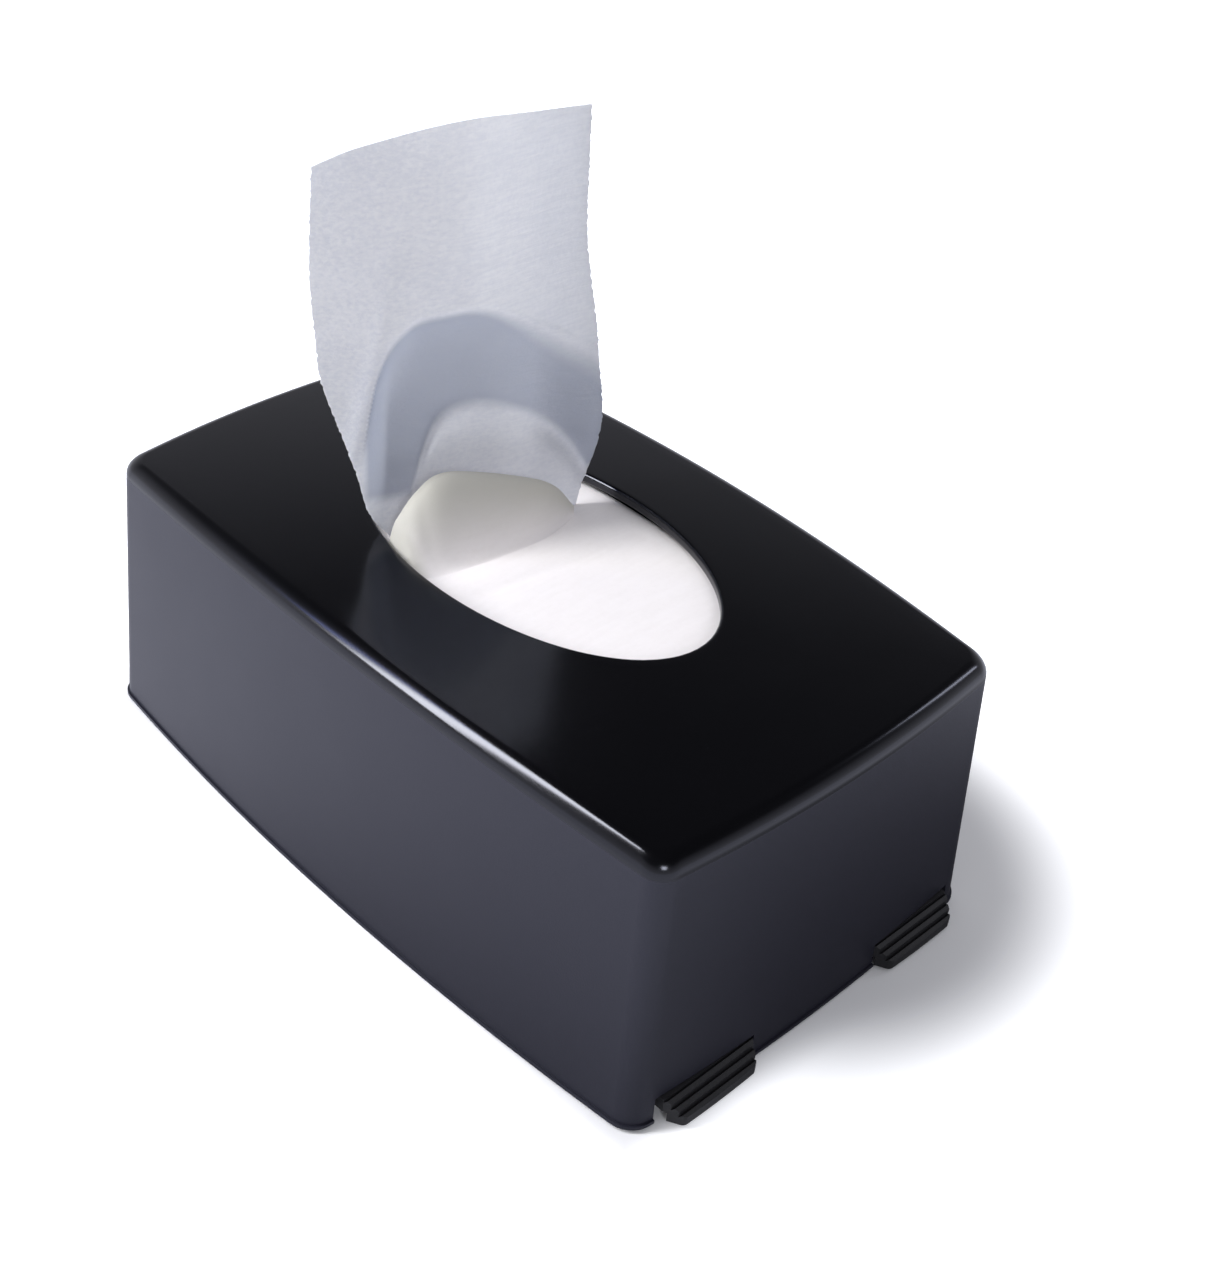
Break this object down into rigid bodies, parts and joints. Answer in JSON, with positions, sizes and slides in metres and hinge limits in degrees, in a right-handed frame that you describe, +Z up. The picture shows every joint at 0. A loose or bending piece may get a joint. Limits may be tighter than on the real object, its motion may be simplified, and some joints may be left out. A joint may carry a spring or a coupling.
{
  "type": "neck strip dispenser",
  "caption": "Boxy bowed case with a domed hinged cover, an oval mouth with a paper neck strip standing in it, a base plate and sprung ribbed release tabs at the front end.",
  "frame": {"origin": "on the table, under the middle of the case", "axes": "+Z up, +Y along the case from the end with the release tabs to the hinge, +X across it to the right as seen from the tabs"},
  "size_m": [0.1224, 0.1995, 0.1694],
  "materials": {
    "cover": "black, gloss on the domed top, satin on the walls",
    "base": "black, moulded, fine grain",
    "tab": "black, moulded, ribbed grip",
    "steel": "bright drawn wire and rod",
    "foot": "matt black non-slip pad",
    "paper": "cream white crepe paper, folded",
    "crepe": "thin bluish white crepe paper"
  },
  "bodies": {
    "base": {"base_plate": "base", "hinge_pin": "steel", "front_left_foot": "foot", "front_right_foot": "foot", "rear_left_foot": "foot", "rear_right_foot": "foot", "strip_pack": "paper", "top_leaf": "paper", "raised_leaf": "paper", "standing_strip": "crepe", "left_tab_spring": "steel", "right_tab_spring": "steel"},
    "cover": {"cover": "cover"},
    "left_tab": {"left_release_tab": "tab"},
    "right_tab": {"right_release_tab": "tab"}
  },
  "joints": [
    {"name": "cover_hinge", "type": "hinge", "parent": "base", "child": "cover", "pos_m": [0, 0.0949, 0.006], "axis": [-1, 0, 0], "range_deg": [0, 92], "deforming": ["standing_strip", "raised_leaf"]},
    {"name": "left_tab_press", "type": "slide", "parent": "base", "child": "left_tab", "axis": [0, 1, 0], "range_m": [0, 0.0025], "stiffness_N_per_m": 600, "springref_m": -0.002, "deforming": ["left_tab_spring"]},
    {"name": "right_tab_press", "type": "slide", "parent": "base", "child": "right_tab", "axis": [0, 1, 0], "range_m": [0, 0.0025], "stiffness_N_per_m": 600, "springref_m": -0.002, "deforming": ["right_tab_spring"]}
  ]
}
